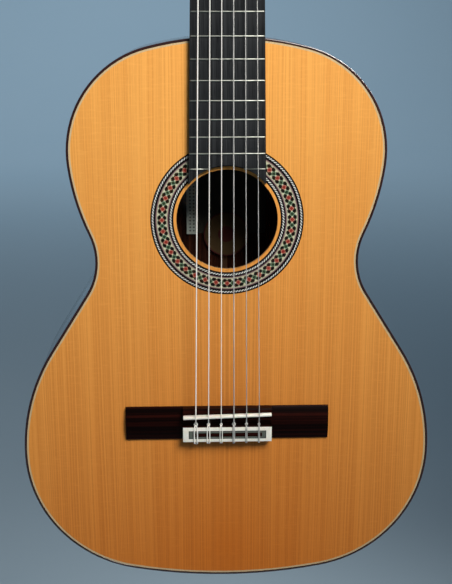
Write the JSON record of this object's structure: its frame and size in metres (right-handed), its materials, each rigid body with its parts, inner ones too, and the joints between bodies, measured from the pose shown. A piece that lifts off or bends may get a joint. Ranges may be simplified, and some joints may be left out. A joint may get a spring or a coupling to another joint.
{
  "type": "classical guitar",
  "caption": "Classical guitar: waisted hollow body, sound hole with inlaid rosette, tie-block bridge, fretted neck, slotted head and worm-geared tuning machines.",
  "frame": {"origin": "on the centre line at the nut's front edge, in the plane of the top's outer face", "axes": "+X towards string 1, +Y from the top to the back, +Z along the neck towards the head"},
  "size_m": [0.3622, 0.1144, 0.9961],
  "materials": {
    "cedar_top": "satin clear finish",
    "rosewood": "gloss",
    "rosewood_dark": "gloss",
    "maple_line": "gloss",
    "mosaic": "satin, dyed wood tiles",
    "neck_cedar": "satin",
    "inner_spruce": "raw, sanded",
    "label_paper": "matte",
    "bridge_rosewood": "satin",
    "bone": null,
    "ebony": "satin, open grain",
    "fret_metal": "polished",
    "nylon": "clear nylon",
    "wound_string": "fine silvered winding",
    "tuner_metal": "polished",
    "gear_brass": "machined",
    "button_pearl": "pearl",
    "roller_bone": "smooth"
  },
  "bodies": {
    "guitar": {"soundboard": "cedar_top", "back_halves": "rosewood", "back_centre_strip": "maple_line", "rib_bass": "rosewood", "rib_treble": "rosewood", "end_graft": "rosewood_dark", "top_binding": "rosewood_dark", "back_binding": "rosewood_dark", "top_purfling": "maple_line", "rosette": "mosaic", "heel_block": "neck_cedar", "tail_block": "neck_cedar", "linings": "inner_spruce", "top_braces": "inner_spruce", "top_patches": "inner_spruce", "back_braces": "inner_spruce", "label": "label_paper", "bridge": "bridge_rosewood", "tie_block_frame": "bone", "saddle": "bone", "neck": "neck_cedar", "heel_cap": "rosewood_dark", "fingerboard": "ebony", "frets": "fret_metal", "nut": "bone", "head": "neck_cedar", "head_veneer": "rosewood", "string_1": "nylon", "string_2": "nylon", "string_3": "nylon", "string_4": "wound_string", "string_5": "wound_string", "string_6": "wound_string", "tuner_plate_bass": "tuner_metal", "tuner_plate_treble": "tuner_metal", "plate_screws": "tuner_metal"},
    "knob_1": {"worm_shaft_1": "tuner_metal", "button_1": "button_pearl"},
    "winder_1": {"gear_1": "gear_brass", "roller_1": "roller_bone"},
    "knob_2": {"worm_shaft_2": "tuner_metal", "button_2": "button_pearl"},
    "winder_2": {"gear_2": "gear_brass", "roller_2": "roller_bone"},
    "knob_3": {"worm_shaft_3": "tuner_metal", "button_3": "button_pearl"},
    "winder_3": {"gear_3": "gear_brass", "roller_3": "roller_bone"},
    "knob_4": {"worm_shaft_4": "tuner_metal", "button_4": "button_pearl"},
    "winder_4": {"gear_4": "gear_brass", "roller_4": "roller_bone"},
    "knob_5": {"worm_shaft_5": "tuner_metal", "button_5": "button_pearl"},
    "winder_5": {"gear_5": "gear_brass", "roller_5": "roller_bone"},
    "knob_6": {"worm_shaft_6": "tuner_metal", "button_6": "button_pearl"},
    "winder_6": {"gear_6": "gear_brass", "roller_6": "roller_bone"}
  },
  "joints": [
    {"name": "knob_1_turn", "type": "hinge", "parent": "guitar", "child": "knob_1", "pos_m": [0.04155, 0.01693, 0.04013], "axis": [0, -0.9659, 0.2588], "continuous": true},
    {"name": "winder_1_turn", "type": "hinge", "parent": "guitar", "child": "winder_1", "pos_m": [0.02, 0.01932, 0.04904], "axis": [1, 0, 0], "continuous": true},
    {"name": "knob_2_turn", "type": "hinge", "parent": "guitar", "child": "knob_2", "pos_m": [0.04155, 0.02599, 0.07394], "axis": [0, -0.9659, 0.2588], "continuous": true},
    {"name": "winder_2_turn", "type": "hinge", "parent": "guitar", "child": "winder_2", "pos_m": [0.02, 0.02838, 0.08284], "axis": [1, 0, 0], "continuous": true},
    {"name": "knob_3_turn", "type": "hinge", "parent": "guitar", "child": "knob_3", "pos_m": [0.04155, 0.03505, 0.10775], "axis": [0, -0.9659, 0.2588], "continuous": true},
    {"name": "winder_3_turn", "type": "hinge", "parent": "guitar", "child": "winder_3", "pos_m": [0.02, 0.03743, 0.11665], "axis": [1, 0, 0], "continuous": true},
    {"name": "knob_4_turn", "type": "hinge", "parent": "guitar", "child": "knob_4", "pos_m": [-0.04155, 0.03505, 0.10775], "axis": [0, -0.9659, 0.2588], "continuous": true},
    {"name": "winder_4_turn", "type": "hinge", "parent": "guitar", "child": "winder_4", "pos_m": [-0.02, 0.03743, 0.11665], "axis": [1, 0, 0], "continuous": true},
    {"name": "knob_5_turn", "type": "hinge", "parent": "guitar", "child": "knob_5", "pos_m": [-0.04155, 0.02599, 0.07394], "axis": [0, -0.9659, 0.2588], "continuous": true},
    {"name": "winder_5_turn", "type": "hinge", "parent": "guitar", "child": "winder_5", "pos_m": [-0.02, 0.02838, 0.08284], "axis": [1, 0, 0], "continuous": true},
    {"name": "knob_6_turn", "type": "hinge", "parent": "guitar", "child": "knob_6", "pos_m": [-0.04155, 0.01693, 0.04013], "axis": [0, -0.9659, 0.2588], "continuous": true},
    {"name": "winder_6_turn", "type": "hinge", "parent": "guitar", "child": "winder_6", "pos_m": [-0.02, 0.01932, 0.04904], "axis": [1, 0, 0], "continuous": true}
  ],
  "couplings": [
    {"joint": "winder_1_turn", "follows": "knob_1_turn", "ratio": 0.071429},
    {"joint": "winder_2_turn", "follows": "knob_2_turn", "ratio": 0.071429},
    {"joint": "winder_3_turn", "follows": "knob_3_turn", "ratio": 0.071429},
    {"joint": "winder_4_turn", "follows": "knob_4_turn", "ratio": 0.071429},
    {"joint": "winder_5_turn", "follows": "knob_5_turn", "ratio": 0.071429},
    {"joint": "winder_6_turn", "follows": "knob_6_turn", "ratio": 0.071429}
  ]
}
